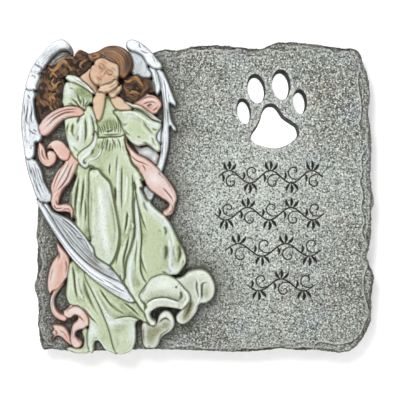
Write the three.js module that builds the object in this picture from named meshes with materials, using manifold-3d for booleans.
// A hanging memorial plaque: a rough-edged stone slab with a paw print cut through it and,
// on its left, a winged figure in relief. Millimetres, +Z up, the front faces -Y and the back
// lies on y = 0. The origin is the middle of the back face.
// Outlines are closed smooth curves through the points given, as [x, z] seen from the front.
import * as THREE from "three";
import { mergeVertices } from "three/addons/utils/BufferGeometryUtils.js";
import Module from "manifold-3d";

// ---- driving dimensions ----
const SLAB_WIDTH = 279; // left edge, under the wing, to the right edge
const SLAB_HEIGHT = 250; // bottom edge to the highest point of the top edge
const SLAB_THICKNESS = 20;
const EDGE_BEVEL = 4; // broken front and back edges of the slab
const JOINT_GAP = 0.3; // between a relief piece and what it is bedded against
const PRINT_HEIGHT = 64; // paw print, foot of the pad to the tip of the longest toe
const PRINT_FROM_RIGHT = 82; // middle of the print to the slab's right edge
const PRINT_FROM_TOP = 56; // middle of the print to the slab's top edge
const HANGER_WIDTH = 26; // oblong pocket in the back, which hooks over a screw head
const HANGER_HEIGHT = 10;
const HANGER_DEPTH = 9;
const HANGER_FROM_TOP = 34;
const HANGER_LEFT_OF_MIDDLE = 8; // towards the figure, which is the heavy side

// relief heights above the face of the slab
const WING_HEIGHT = 8;
const FEATHER_HEIGHT = 6.5;
const LINING_HEIGHT = 3;
const HAIR_HEIGHT = 11;
const HEAD_HEIGHT = 15;
const NECK_HEIGHT = 9;
const HAND_HEIGHT = 17;
const ARM_HEIGHT = 14;
const BODICE_HEIGHT = 10;
const SLEEVE_HEIGHT = 12;
const SKIRT_HEIGHT = 11;
const LEG_HEIGHT = 13;
const TRAIN_HEIGHT = 12;
const HEM_HEIGHT = 8;
const SASH_HEIGHT = 7;

const OUTLINE_STEP = 3.4; // spacing of the points taken along a relief outline
const SLAB_STEP = 6;
const CUT_STEP = 3;
const CUT_PAST = 3; // how far a cutter runs past the face it cuts

// ---- finishes ----
const finish = (color, roughness) => new THREE.MeshStandardMaterial({ color, roughness, metalness: 0 });
const STONE = finish(0x7c7e78, 0.85);
const WING_PAINT = finish(0xdfe5e8, 0.6);
const LINING_PAINT = finish(0xaab0b2, 0.7);
const HAIR_PAINT = finish(0x5c3c22, 0.55);
const SKIN_PAINT = finish(0xdcbc9c, 0.5);
const GOWN_PAINT = finish(0xa9bf8c, 0.6);
const TRIM_PAINT = finish(0xdfe6d2, 0.6);
const SASH_PAINT = finish(0xe0ab98, 0.6);

const wasm = await Module();
wasm.setup();

// ---- solids ----
function solidFrom(geometry) {
  geometry.deleteAttribute("normal");
  geometry.deleteAttribute("uv");
  const merged = mergeVertices(geometry, 1e-4);
  return new wasm.Manifold(
    new wasm.Mesh({
      numProp: 3,
      vertProperties: merged.attributes.position.array,
      triVerts: new Uint32Array(merged.index.array),
    }),
  );
}

function geometryFrom(solid) {
  const mesh = solid.getMesh();
  const geometry = new THREE.BufferGeometry();
  geometry.setAttribute("position", new THREE.BufferAttribute(mesh.vertProperties, 3));
  geometry.setIndex(new THREE.BufferAttribute(mesh.triVerts, 1));
  geometry.computeVertexNormals();
  return geometry;
}

// The body with the most volume: an overlapping neighbour can cut off a crumb, which is left out.
function largestBody(solid) {
  const bodies = solid.decompose();
  return bodies.reduce((most, body) => (body.volume() > most.volume() ? body : most));
}

// ---- outlines ----
function smoothOutline(points, step) {
  const curve = new THREE.CatmullRomCurve3(
    points.map(([x, z]) => new THREE.Vector3(x, z, 0)),
    true,
    "centripetal",
  );
  const count = Math.max(8, Math.round(curve.getLength() / step));
  const sampled = curve.getSpacedPoints(count).slice(0, count);
  const outline = sampled.map((p) => new THREE.Vector2(p.x, p.y));
  return THREE.ShapeUtils.isClockWise(outline) ? outline.reverse() : outline;
}

// The outline moved outwards by a distance, along the mean of the two edge normals at each point.
function grown(outline, distance) {
  return outline.map((point, i) => {
    const before = outline[(i + outline.length - 1) % outline.length];
    const after = outline[(i + 1) % outline.length];
    const along = after.clone().sub(before).normalize();
    return new THREE.Vector2(point.x + along.y * distance, point.y - along.x * distance);
  });
}

function prism(outline, backDepth, frontDepth, round = 0) {
  const options = {
    depth: frontDepth - backDepth - 2 * round,
    bevelEnabled: round > 0,
    bevelThickness: round,
    bevelSize: round,
    bevelOffset: -round,
    bevelSegments: 1,
    steps: 1,
  };
  const geometry = new THREE.ExtrudeGeometry(new THREE.Shape(outline), options);
  geometry.translate(0, 0, backDepth + round);
  geometry.rotateX(Math.PI / 2);
  return solidFrom(geometry);
}

// ---- slab ----
const SLAB_OUTLINE = [
  [-40, 118.5], [-30, 121.5], [-18, 121], [-5, 124], [10, 125], [36, 123], [50, 122], [58, 126],
  [72, 127.6], [84, 126.4], [98, 125], [112, 122.8], [126, 121.6], [129, 118], [132, 110], [135, 102],
  [137, 91], [137, 80], [136, 68], [138, 56], [138.5, 40], [138, 20], [139, 8], [140.5, 0],
  [138.5, -12], [138.5, -24], [137, -36], [135, -45], [137, -52], [140, -60], [140, -68],
  [138.5, -80], [138.5, -92], [137, -100], [133.5, -108], [128, -116], [121.5, -121.5],
  [116, -123], [104, -122.5], [92, -121], [80, -121.5], [68, -120], [56, -121], [40, -122.5],
  [20, -122.5], [0, -121.5], [-20, -121], [-35, -120.5], [-52, -120.5], [-75, -121.5],
  [-100, -122], [-121, -120.5], [-127, -120], [-129, -114], [-130, -105], [-131, -97],
  [-130.5, -88], [-131, -80], [-133, -74], [-134, -69], [-132, -63], [-131, -55], [-132, -47],
  [-131, -40], [-132, -30], [-131.5, -18], [-131, -8], [-131, 2], [-134, 15], [-137, 28],
  [-138.5, 42], [-139.5, 56], [-139.5, 70], [-137.5, 84], [-134.5, 96], [-130, 107], [-123, 117],
  [-115, 124], [-109, 125], [-104, 120], [-101, 112], [-98, 114.5], [-95, 116.5], [-91, 115.5],
  [-87, 113.5], [-80, 117], [-73, 120.5], [-67, 120.5], [-60, 117.5], [-57, 118], [-57, 122],
  [-54, 125.5], [-49, 124], [-44, 121],
];

function extent(points) {
  const box = new THREE.Box2().setFromPoints(points.map(([x, z]) => new THREE.Vector2(x, z)));
  return { box, size: box.getSize(new THREE.Vector2()) };
}

// The figure is as tall as the slab and stands at its left edge, so one scale fits both to the
// height. Width beyond that goes in between the figure and the right edge.
const drawn = extent(SLAB_OUTLINE);
const figureScale = SLAB_HEIGHT / drawn.size.y;
const spare = (SLAB_WIDTH - drawn.size.x * figureScale) / 2;
const SPREAD = 60; // half-width of the stretch of slab that takes up the spare width
const slabPoint = ([x, z]) => [
  x * figureScale + spare * THREE.MathUtils.clamp(x / SPREAD, -1, 1),
  z * figureScale,
];
const figurePoint = ([x, z]) => [x * figureScale - spare, z * figureScale];
const slabPoints = SLAB_OUTLINE.map(slabPoint);
const slabBox = extent(slabPoints).box;

// Paw print: four toes and a pad, about the middle of the print.
const TOES = [
  { x: -23, z: 0, across: 5.9, along: 10.5, lean: 9 },
  { x: -13, z: 18, across: 7.5, along: 12.1, lean: 9 },
  { x: 7, z: 21.2, across: 7.7, along: 12.4, lean: 4 },
  { x: 22, z: 7.6, across: 5.9, along: 10.2, lean: 4 },
];
const PAD = [
  [-4, 5.8], [2.2, 5.3], [5.8, 1.2], [8.8, -3.3], [15.4, -8], [20, -11.5], [21.4, -19.2],
  [18, -23.2], [12.4, -26.8], [6.3, -29.4], [-0.9, -29.9], [-7, -28.4], [-14.2, -26.3],
  [-17.7, -22.2], [-17.2, -17.6], [-13.1, -11.5], [-10, -4.8], [-8.5, 0.8],
];
const printDrawn = 63.9; // foot of the pad to the tip of the longest toe, as given above

function toeOutline({ x, z, across, along, lean }) {
  const ellipse = new THREE.EllipseCurve(0, 0, across, along, 0, 2 * Math.PI);
  const turn = THREE.MathUtils.degToRad(lean);
  return ellipse
    .getPoints(20)
    .slice(0, 20)
    .map((p) => p.rotateAround(new THREE.Vector2(), turn).add(new THREE.Vector2(x, z)));
}

function pawCutters() {
  const middle = new THREE.Vector2(slabBox.max.x - PRINT_FROM_RIGHT, slabBox.max.y - PRINT_FROM_TOP);
  const place = (p) => p.clone().multiplyScalar(PRINT_HEIGHT / printDrawn).add(middle);
  return [...TOES.map(toeOutline), smoothOutline(PAD, CUT_STEP)].map((outline) =>
    prism(outline.map(place), -CUT_PAST, SLAB_THICKNESS + CUT_PAST),
  );
}

// The oblong pocket in the back that hooks over a nail or a screw head.
function hangerCutter() {
  const end = HANGER_HEIGHT / 2;
  const straight = HANGER_WIDTH / 2 - end;
  const z = slabBox.max.y - HANGER_FROM_TOP;
  const shape = new THREE.Shape();
  shape.absarc(straight - HANGER_LEFT_OF_MIDDLE, z, end, -Math.PI / 2, Math.PI / 2);
  shape.absarc(-straight - HANGER_LEFT_OF_MIDDLE, z, end, Math.PI / 2, (3 * Math.PI) / 2);
  return prism(shape.getPoints(8).slice(0, -1), -CUT_PAST, HANGER_DEPTH);
}

function makeSlab() {
  let slab = prism(smoothOutline(slabPoints, SLAB_STEP), 0, SLAB_THICKNESS, EDGE_BEVEL);
  for (const cutter of [...pawCutters(), hangerCutter()]) slab = slab.subtract(cutter);
  return slab;
}

// ---- relief pieces, front to back: [name, paint, height, outline] ----
// A piece beds against every piece listed before it.
const RELIEF = [
  ["right_hand", SKIN_PAINT, HAND_HEIGHT, [
    [-79.5, 89.5], [-75, 91], [-70, 92.8], [-67, 95], [-64.8, 94.6], [-64.2, 92], [-66, 89.3],
    [-69, 87], [-73.5, 84.6], [-77, 85], [-81, 86.5],
  ]],
  ["right_forearm", SKIN_PAINT, ARM_HEIGHT, [
    [-81.5, 87.5], [-77, 85], [-74.3, 84.3], [-75.2, 78], [-76.5, 71], [-78.5, 64.5],
    [-81, 62], [-83.5, 68.5], [-85.5, 75], [-84.8, 80], [-83, 84.5],
  ]],
  ["left_hand", SKIN_PAINT, ARM_HEIGHT, [
    [-73, 84], [-69, 86.5], [-65.5, 89], [-63, 92], [-61.8, 90], [-62.8, 87], [-65.6, 83.5],
    [-67.5, 81.5], [-71, 81],
  ]],
  ["left_forearm", SKIN_PAINT, ARM_HEIGHT - 2, [
    [-73.3, 83], [-69, 82.5], [-65.5, 82.5], [-60, 78.5], [-56, 74.5], [-54, 72], [-60, 71.4],
    [-66, 71.8], [-69, 75.5], [-71.5, 79.5],
  ]],
  ["face", SKIN_PAINT, HEAD_HEIGHT, [
    [-83.5, 109], [-80, 112], [-75, 111.5], [-70, 108.8], [-65.5, 107], [-64.3, 102], [-64.8, 97],
    [-66, 94], [-70, 91.5], [-76, 90], [-81, 90.3], [-84.5, 92.5], [-87, 96.5], [-87.3, 103],
  ]],
  ["neck", SKIN_PAINT, NECK_HEIGHT, [
    [-95.5, 97.5], [-91, 101], [-87, 104.5], [-85.5, 98], [-82, 90.5], [-80.5, 88], [-83, 85.3],
    [-86, 88.5], [-90.5, 93],
  ]],
  ["hair_crown", HAIR_PAINT, HAIR_HEIGHT + 2, [
    [-89, 115.8], [-82, 118.3], [-76, 121.7], [-70, 123], [-64, 122.3], [-59, 119.7], [-55.3, 115],
    [-53.7, 109], [-54.6, 103], [-57.5, 98.7], [-61, 95.8], [-64, 96.5], [-66, 104], [-72, 108],
    [-79, 110.5], [-85, 109], [-88.5, 111.5],
  ]],
  ["collar", TRIM_PAINT, BODICE_HEIGHT + 2, [
    [-107, 96.3], [-104.5, 99], [-101, 98.6], [-96, 97.3], [-92, 94.2], [-88, 90.6], [-85, 87],
    [-82.8, 84.4], [-84.8, 84], [-89, 87.3], [-94, 90.6], [-99, 92.7], [-103.5, 94],
  ]],
  ["sash_upper_left", SASH_PAINT, SASH_HEIGHT + 3, [
    [-92, 69.5], [-95, 72.8], [-101, 74.3], [-108, 74], [-115, 71.3], [-121, 67.3], [-126, 62.5],
    [-128.5, 59], [-127.8, 55.5], [-126.8, 52], [-123, 51], [-118, 54.5], [-114, 59],
    [-110, 62.5], [-105, 65.3], [-100, 66.3], [-95, 66.8],
  ]],
  ["left_cuff", TRIM_PAINT, SLEEVE_HEIGHT + 1, [
    [-83, 54], [-81, 51], [-81.3, 46], [-83, 41.5], [-86, 37], [-85, 34], [-81.5, 37],
    [-79, 42.6], [-77.6, 40], [-79, 35.3], [-83, 31.8], [-87.3, 30.3], [-88, 27.3], [-91.5, 25.4],
    [-95.5, 28.5], [-97.3, 32.8], [-96, 36.4], [-92.5, 39.6], [-88, 42.6], [-84.6, 47],
  ]],
  ["left_sleeve", GOWN_PAINT, SLEEVE_HEIGHT, [
    [-91, 71.5], [-88, 75.5], [-86, 73.5], [-83.8, 67.5], [-82, 61.5], [-81.2, 55], [-84, 46],
    [-90, 40], [-97, 32], [-99.5, 33.5], [-102.5, 38], [-105, 44], [-106.8, 50.5], [-107.8, 58],
    [-107.4, 64], [-101, 66.2], [-94.5, 67.3],
  ]],
  ["right_sleeve", GOWN_PAINT, SLEEVE_HEIGHT - 1, [
    [-68.5, 70], [-65, 71.5], [-59.5, 71.2], [-54, 71.2], [-49, 70.3], [-45, 68.3], [-41, 65.3],
    [-38, 63], [-34, 61.7], [-30.8, 60.4], [-31.5, 57], [-34, 53.5], [-35, 50], [-34.3, 47],
    [-32, 44.5], [-31.6, 40.5], [-33, 37.8], [-36, 39.2], [-39, 42], [-42.5, 44], [-46, 43.5],
    [-50.5, 43], [-55, 45.7], [-58.7, 50], [-61, 56], [-63, 62], [-65.5, 66.5],
  ]],
  ["bodice", GOWN_PAINT, BODICE_HEIGHT, [
    [-74.6, 79], [-72, 79], [-69.3, 75.3], [-66, 70], [-63, 64], [-61.5, 58], [-60.5, 52],
    [-66, 50.6], [-73, 50.6], [-79, 49.5], [-80.8, 55], [-80.8, 61], [-78.5, 63.7], [-76.5, 70],
    [-75.3, 75],
  ]],
  ["left_shoulder", GOWN_PAINT, BODICE_HEIGHT + 1, [
    [-106.4, 93.8], [-103.5, 93.6], [-99, 92.3], [-94, 90.2], [-89, 87], [-85, 83.6], [-85, 80],
    [-86.3, 76], [-88.4, 75.9], [-91.5, 71.5], [-95, 73.3], [-100, 75], [-108.7, 75], [-109, 82],
    [-108.2, 89],
  ]],
  ["right_cuff", TRIM_PAINT, SLEEVE_HEIGHT - 3, [
    [-60, 78], [-54, 76.6], [-48, 75], [-44, 72.2], [-38, 68.2], [-33, 64.7], [-30.7, 63],
    [-31, 61], [-36, 62], [-41, 65.5], [-46, 69.5], [-53, 72], [-57, 74.5],
  ]],
  ["hair_left_upper", HAIR_PAINT, HAIR_HEIGHT, [
    [-84, 111], [-88.5, 116], [-92, 118.6], [-96, 119], [-99.2, 116.3], [-101.2, 113.5],
    [-106, 112.5], [-110, 110.8], [-115.5, 107.8], [-121, 106.2], [-125, 104.6], [-127.5, 101],
    [-124, 99.5], [-116, 98], [-108, 97], [-104.5, 99.5], [-100, 98.6], [-95, 98], [-90.5, 101.8],
    [-87, 105.3], [-85.5, 108],
  ]],
  ["hair_left_lower", HAIR_PAINT, HAIR_HEIGHT - 2, [
    [-127.5, 100.5], [-127.5, 96.5], [-129.8, 91], [-131.3, 84], [-131, 76], [-129.5, 68.5],
    [-127.3, 62.5], [-121, 68], [-114, 72.3], [-109, 74.6], [-109.3, 82], [-108.5, 89],
    [-107, 95], [-112, 97.3], [-120, 98.6],
  ]],
  ["hair_right", HAIR_PAINT, HAIR_HEIGHT - 1, [
    [-61, 95.5], [-57.8, 98.5], [-54, 99.6], [-50, 99.6], [-46, 97.3], [-41, 97.3], [-37.6, 94],
    [-36.2, 89], [-36.6, 85], [-41, 85.4], [-45, 82.5], [-50, 79], [-54, 77.2], [-59, 78.7],
    [-62, 81.2], [-65, 83.6], [-62.8, 87], [-62, 91],
  ]],
  ["sash_upper_right", SASH_PAINT, SASH_HEIGHT, [
    [-52, 76.6], [-48, 80.3], [-44, 83.4], [-40, 84.3], [-35.2, 82.6], [-32, 79.3], [-30.3, 75.5],
    [-32.5, 72.3], [-34.5, 69], [-38, 68.6], [-42, 71.5], [-47, 75],
  ]],
  ["sash_lower_right", SASH_PAINT, SASH_HEIGHT + 2, [
    [-60, 51], [-58, 46.3], [-54, 40.5], [-49, 36.3], [-43, 33.2], [-37, 28.7], [-33, 24.5],
    [-27.5, 18.5], [-22.5, 11.5], [-19, 5], [-18.5, 0], [-20, -3.5], [-21, -8.5], [-24, -12.3],
    [-26.8, -13], [-30.5, -9.5], [-26.5, -6.5], [-25, -3], [-30, 0.7], [-36, 5], [-41, 9],
    [-44.5, 15], [-47.5, 21], [-51, 26.2], [-54, 29], [-56.7, 37], [-58.7, 44],
  ]],
  ["sash_curl_inner", SASH_PAINT, SASH_HEIGHT, [
    [-128.4, 46], [-129.5, 40], [-129, 34], [-126.5, 29.3], [-122, 26.4], [-117.8, 27.5],
    [-114.7, 31.5], [-115, 36], [-118.5, 39.3], [-122, 39], [-122.3, 34.5], [-123, 37],
    [-124.6, 43],
  ]],
  ["sash_curl_outer", SASH_PAINT, SASH_HEIGHT + 1, [
    [-122.3, 41], [-120.5, 45.2], [-116, 48], [-110.5, 47.2], [-105.7, 42.5], [-103.3, 37.3],
    [-106.3, 31.5], [-110, 31.3], [-113.4, 34], [-116.5, 39], [-119, 41],
  ]],
  ["sash_left_tail", SASH_PAINT, SASH_HEIGHT + 2, [
    [-103.2, 37], [-99.7, 33.7], [-96.8, 30.3], [-98.2, 25], [-101, 19], [-104, 13.5],
    [-108, 9.5], [-110.5, 5], [-112, 0], [-112.7, -3], [-106, -2.7], [-102.3, -5.5],
    [-101, -10], [-101.8, -15.5], [-103.3, -13.5], [-104.3, -10], [-110, -9.6], [-115, -9],
    [-118, -6], [-119, -2], [-118, 3], [-119.3, 10], [-117, 17], [-114, 23], [-109.3, 28],
    [-106.5, 32],
  ]],
  ["left_wing_shoulder", WING_PAINT, WING_HEIGHT + 2, [
    [-102, 115], [-101.5, 118], [-103, 122.5], [-106.3, 126.3], [-110.3, 128.2], [-114.5, 127.2],
    [-119.3, 124.3], [-124, 119.8], [-128, 114.5], [-131.8, 109], [-128, 106.3], [-124.8, 105],
    [-121.8, 108.3], [-118.5, 113.2], [-114, 117.2], [-109, 119.5], [-105.5, 118.5],
  ]],
  ["left_wing_lining", LINING_PAINT, LINING_HEIGHT, [
    [-122, 107.5], [-119, 112.5], [-113.5, 117.3], [-108.5, 119], [-104.5, 117.5], [-102.5, 114],
    [-108, 111.5], [-115, 108.3],
  ]],
  ["left_wing_covert", WING_PAINT, WING_HEIGHT + 1, [
    [-132, 108.5], [-128, 106], [-125.2, 104.6], [-128, 100.5], [-127.8, 96.5], [-129.5, 91.5],
    [-131.2, 87.7], [-135.5, 87.5], [-139.3, 89], [-138.2, 96], [-135.6, 103],
  ]],
  ["left_wing_secondary", WING_PAINT, WING_HEIGHT, [
    [-139.5, 88.2], [-135.5, 87], [-131.8, 87], [-132.3, 80], [-131.8, 72], [-130.3, 65],
    [-128.6, 59.5], [-127.3, 54], [-126, 50], [-127.5, 46.7], [-131, 46.3], [-131.6, 40],
    [-132.5, 34.8], [-136, 32.3], [-139.6, 34.3], [-141, 42], [-142.4, 52], [-143, 62],
    [-142.6, 71], [-141.5, 80],
  ]],
  ["left_wing_primary", WING_PAINT, FEATHER_HEIGHT, [
    [-139.6, 34], [-136, 32], [-132.6, 33], [-128.6, 28], [-126, 22], [-124.7, 15], [-122, 10.3],
    [-119.5, 6], [-118, 1.5], [-119.3, -1.7], [-122.5, -2.3], [-126, -2], [-130, 1], [-134, 11],
    [-137.3, 21],
  ]],
  ["left_wing_flight_edge", WING_PAINT, WING_HEIGHT + 4, [
    [-130.2, 0.5], [-126, -2.3], [-119, -12.5], [-113, -22.5], [-107, -31.5], [-100, -40.3],
    [-92, -48.3], [-84, -54.5], [-76, -59.5], [-68, -63.3], [-61, -66.3], [-57.5, -71],
    [-54, -77], [-51.5, -81], [-57, -80.8], [-64, -77.5], [-72, -72.5], [-80, -66.8],
    [-88, -60.3], [-96, -53], [-103, -45.5], [-109, -37], [-115, -28], [-121, -18.5],
    [-126.3, -9],
  ]],
  ["left_wing_flight", WING_PAINT, WING_HEIGHT + 3, [
    [-124.5, -3], [-121, -3.5], [-117.5, -8.5], [-112, -11.5], [-107, -13.8], [-103, -16],
    [-99, -20], [-95, -24.8], [-91, -29.5], [-87, -35], [-84.2, -40.3], [-83.7, -44],
    [-80, -47.5], [-75, -50.5], [-71, -53.3], [-68, -57.2], [-65, -61], [-61.5, -65.5],
    [-70, -62], [-80, -57], [-90, -49.5], [-100, -39.5], [-108, -29],
  ]],
  ["right_wing_shoulder", WING_PAINT, WING_HEIGHT + 2, [
    [-59.3, 123.8], [-58, 126.6], [-55, 128], [-51, 127.2], [-46, 124.5], [-42, 121.2],
    [-38.8, 118.2], [-34.5, 112.7], [-31, 108.7], [-30, 106], [-31.8, 104.4], [-36, 104.3],
    [-39.5, 106], [-43, 109.5], [-46, 114.5], [-50.5, 117.3], [-56, 119], [-58.7, 121],
  ]],
  ["right_wing_lining", LINING_PAINT, LINING_HEIGHT + 2, [
    [-57, 118.8], [-50.5, 117], [-46, 114], [-43, 109], [-40.7, 103.5], [-38.6, 98.5],
    [-41.5, 97.8], [-46, 98], [-50, 100.2], [-54.5, 100.5], [-53.8, 108], [-55, 114.5],
  ]],
  ["right_wing_secondary", WING_PAINT, WING_HEIGHT, [
    [-40.4, 105.6], [-38.5, 98], [-37, 92], [-36, 87.5], [-35.2, 83.6], [-32.8, 85.2],
    [-31.5, 89.5], [-32.8, 95.5], [-35.5, 103.2],
  ]],
  ["right_wing_primary", WING_PAINT, FEATHER_HEIGHT, [
    [-35.4, 104], [-31, 104], [-28.8, 101], [-26, 95], [-23.5, 88.5], [-20.8, 81.5],
    [-18.9, 75.5], [-20.5, 74.5], [-24.2, 78], [-24, 70], [-22, 62], [-18.5, 55.8],
    [-20.8, 54.6], [-24.3, 60], [-24.6, 50], [-25.3, 42], [-27, 34], [-29.3, 25.5], [-30.7, 22],
    [-34.3, 26.5], [-32.7, 33], [-31.3, 41], [-30.8, 50], [-29.9, 60], [-29.4, 70],
    [-30.2, 80], [-31.5, 89], [-33, 97],
  ]],
  ["right_wing_plume", WING_PAINT, FEATHER_HEIGHT + 1, [
    [-31.3, 57], [-33.7, 53.3], [-35.2, 50], [-34.5, 46.8], [-32.2, 44.8], [-31.3, 47], [-31, 52],
  ]],
  ["right_wing_down", LINING_PAINT, LINING_HEIGHT, [
    [-53.5, 44], [-48, 42], [-42, 43], [-38, 40.5], [-33, 36.5], [-33, 31], [-35, 27.3],
    [-40, 31.5], [-48, 36.3],
  ]],
  ["right_wing_tip", WING_PAINT, LINING_HEIGHT, [
    [-46.5, 9.5], [-43.5, 11], [-40.3, 8], [-37, 5], [-38.5, 0], [-41, -1.5], [-44.3, 4],
  ]],
  ["skirt_leg", GOWN_PAINT, LEG_HEIGHT, [
    [-87.5, 23.5], [-83, 25], [-76, 19], [-71, 13.5], [-69, 5], [-67, -5], [-64.8, -16],
    [-63.5, -28], [-65.3, -40], [-69, -49], [-72, -51.8], [-78, -47.5], [-83, -41.5],
    [-87.3, -29], [-88.3, -15], [-88.6, 0], [-88, 12],
  ]],
  ["skirt_front", GOWN_PAINT, SKIRT_HEIGHT, [
    [-78.5, 42], [-78, 47], [-74, 50], [-68, 50], [-61, 50], [-59.5, 45], [-57.5, 36],
    [-54.5, 27], [-53, 18], [-52.7, 5], [-52.5, -10], [-52, -25], [-54.5, -36], [-58, -47],
    [-59.6, -58], [-60.3, -64], [-65, -60], [-68.5, -55], [-66, -46], [-63.5, -38], [-62.5, -28],
    [-63.8, -16], [-66, -5], [-68, 5], [-70, 14], [-75.5, 20], [-83, 26], [-87, 27.5],
    [-86.5, 30], [-82.5, 31.3], [-79, 35],
  ]],
  ["skirt_side", GOWN_PAINT, SKIRT_HEIGHT - 2, [
    [-91, 24.7], [-87.8, 26.8], [-88.5, 12], [-89, 0], [-88.8, -15], [-88, -28], [-89.5, -31],
    [-93, -27.5], [-98, -21.3], [-100, -12], [-103.5, -3], [-104, 4], [-101, 12], [-98, 20],
    [-96, 27.6], [-94, 26],
  ]],
  ["train_scroll", TRIM_PAINT, TRAIN_HEIGHT + 2, [
    [-41, -97.5], [-44.3, -88], [-43, -84], [-48, -76], [-43.3, -68.5], [-39.3, -62.6],
    [-34.5, -60.3], [-29.5, -59], [-24.5, -60], [-20, -62], [-16.5, -65.5], [-12, -71],
    [-8.8, -74], [-8, -79], [-11, -83.5], [-14.5, -86.8], [-20, -86], [-26, -85], [-32, -85],
    [-37, -87], [-39.5, -90], [-38, -94], [-34.5, -97], [-36, -99.6], [-39, -99.3],
  ]],
  ["train_tail", TRIM_PAINT, TRAIN_HEIGHT, [
    [-18.5, -62], [-14, -60.8], [-10, -57], [-4, -55.2], [2, -55.2], [7, -58], [10.6, -64],
    [12, -70], [11, -76], [8, -80], [3, -82.6], [-0.5, -82.3], [-2, -87], [-5, -92], [-9, -96.5],
    [-14, -98.8], [-18, -97], [-19.3, -93.5], [-18, -90], [-14.5, -87], [-11, -83], [-8.3, -78],
    [-8.8, -74], [-13, -69.5], [-17, -65],
  ]],
  ["train_panel", GOWN_PAINT, TRAIN_HEIGHT, [
    [-52.3, 22], [-49.5, 23], [-47, 16], [-44.5, 8], [-41.5, 1], [-36, -6], [-29, -12],
    [-24, -18], [-20.5, -25], [-17, -32], [-13, -40], [-11, -48], [-13.5, -54], [-18.5, -59.5],
    [-24.5, -59.5], [-30, -58.8], [-35, -60], [-39.5, -62.5], [-41.5, -66], [-46, -58],
    [-47, -46], [-46, -30], [-47.5, -14], [-50, 2],
  ]],
  ["train_fold", GOWN_PAINT, TRAIN_HEIGHT + 1, [
    [-52, 12], [-50, 2], [-47.5, -14], [-46, -30], [-47, -46], [-45.5, -57], [-41.8, -66],
    [-45, -71], [-48, -76], [-44.5, -84], [-44.5, -89], [-50, -82], [-54, -75.5], [-57, -68],
    [-57.8, -58], [-56.5, -48], [-53, -38], [-51.2, -28], [-51.5, -10],
  ]],
  ["hem_scroll", TRIM_PAINT, HEM_HEIGHT + 2, [
    [-34.5, -98], [-33.3, -92.5], [-30.5, -89], [-26.6, -87.6], [-23, -89.7], [-20.6, -94.5],
    [-20.4, -99.5], [-22.5, -103.3], [-27, -106.5], [-30.6, -109], [-32.8, -113.5],
    [-35, -117.2], [-40, -118], [-44.3, -117], [-45.8, -113], [-46.3, -105], [-46.5, -99],
    [-44, -97], [-41.5, -98.5], [-37, -100],
  ]],
  ["hem_right", GOWN_PAINT, HEM_HEIGHT + 1, [
    [-54, -81.7], [-51, -82], [-45.5, -90], [-42, -97], [-46, -97], [-48.5, -95.3],
    [-51.3, -98.5], [-51, -106], [-51.5, -113], [-54, -119], [-59, -122.3], [-66, -122.5],
    [-69, -116], [-71, -108], [-74, -98], [-79, -86], [-84.5, -75], [-90, -64], [-92, -57.5],
    [-88, -60.5], [-80, -67], [-72, -72.8], [-64, -77.8], [-58, -81],
  ]],
  ["hem_left", GOWN_PAINT, HEM_HEIGHT, [
    [-103.5, -50], [-105, -58], [-107, -68], [-106.7, -78], [-104, -83], [-97, -84],
    [-90.5, -90], [-88, -96], [-89.7, -104], [-90, -112], [-88.7, -118], [-87.5, -122.5],
    [-85.3, -122], [-84.7, -116], [-83, -111.8], [-80, -113.5], [-76, -119], [-71, -121.8],
    [-66, -122.5], [-69, -115], [-71.5, -107], [-75, -97], [-80, -85], [-86, -73], [-91, -63],
    [-93, -56.5], [-97.5, -52], [-101.5, -48],
  ]],
  ["sash_leaf", SASH_PAINT, SASH_HEIGHT, [
    [-114.3, -33.5], [-111, -37], [-107.5, -41], [-104.3, -46], [-104.3, -53], [-105.8, -60],
    [-109, -66], [-113, -70.5], [-117, -72], [-120, -75], [-122, -69], [-121.5, -61],
    [-119.5, -53], [-116.5, -47], [-113.2, -43], [-114.5, -38],
  ]],
  ["sash_loop_upper", SASH_PAINT, SASH_HEIGHT, [
    [-108.5, -66.5], [-112.5, -72], [-116, -78], [-116, -84], [-112.5, -89.5], [-108.5, -91.5],
    [-106, -94], [-107.5, -96.6], [-112, -95.7], [-117, -92], [-119.5, -86], [-119.5, -79],
    [-117, -73], [-112, -69.5],
  ]],
  ["sash_loop_lower", SASH_PAINT, SASH_HEIGHT + 2, [
    [-109, -88.3], [-105.5, -86], [-103, -82.3], [-99, -80], [-94, -81.7], [-89.7, -87],
    [-87.8, -93], [-88.6, -99], [-93, -102.5], [-98.5, -104.5], [-99, -109], [-94.6, -112],
    [-94.3, -115.5], [-97.5, -117.7], [-101.5, -116.7], [-103.3, -111], [-102.8, -104],
    [-101.3, -98.5], [-97, -94.3], [-99.3, -91.7], [-103, -94], [-106.8, -93.5],
  ]],
  ["sash_tail_end", SASH_PAINT, SASH_HEIGHT - 1, [
    [-103.2, -116], [-107, -113], [-112, -108.8], [-115.3, -108.6], [-119, -113.5],
    [-117, -107.7], [-118.7, -106.3], [-116.8, -103.5], [-118, -99.8], [-113, -99.4],
    [-108, -101.2], [-105, -105.5], [-103.6, -110],
  ]],
  ["hem_corner", GOWN_PAINT, HEM_HEIGHT - 3, [
    [-107, -118.7], [-104, -117.3], [-99, -118.3], [-94.3, -117.3], [-93, -111], [-94.8, -104.7],
    [-90.3, -102], [-90.3, -112], [-89, -118], [-89, -122.3], [-95, -122.6], [-101, -122.3],
  ]],
];

function makeRelief() {
  const bed = SLAB_THICKNESS + JOINT_GAP;
  const tallest = bed + Math.max(...RELIEF.map(([, , height]) => height));
  const placed = [];
  return RELIEF.map(([name, paint, height, points]) => {
    const outline = smoothOutline(points.map(figurePoint), OUTLINE_STEP);
    let solid = prism(outline, bed, bed + height);
    for (const cutter of placed) solid = solid.subtract(cutter);
    placed.push(prism(grown(outline, JOINT_GAP), 0, tallest + CUT_PAST));
    return { name, paint, solid: largestBody(solid) };
  });
}

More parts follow.
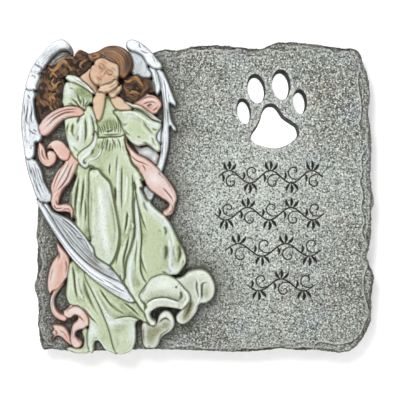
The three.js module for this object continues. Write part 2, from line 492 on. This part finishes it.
// ---- assembly ----
const plaque = new THREE.Group();
function addPiece(name, paint, solid) {
  const mesh = new THREE.Mesh(geometryFrom(solid), paint);
  mesh.name = name;
  plaque.add(mesh);
}

addPiece("slab", STONE, makeSlab());
for (const { name, paint, solid } of makeRelief()) addPiece(name, paint, solid);

export default plaque;
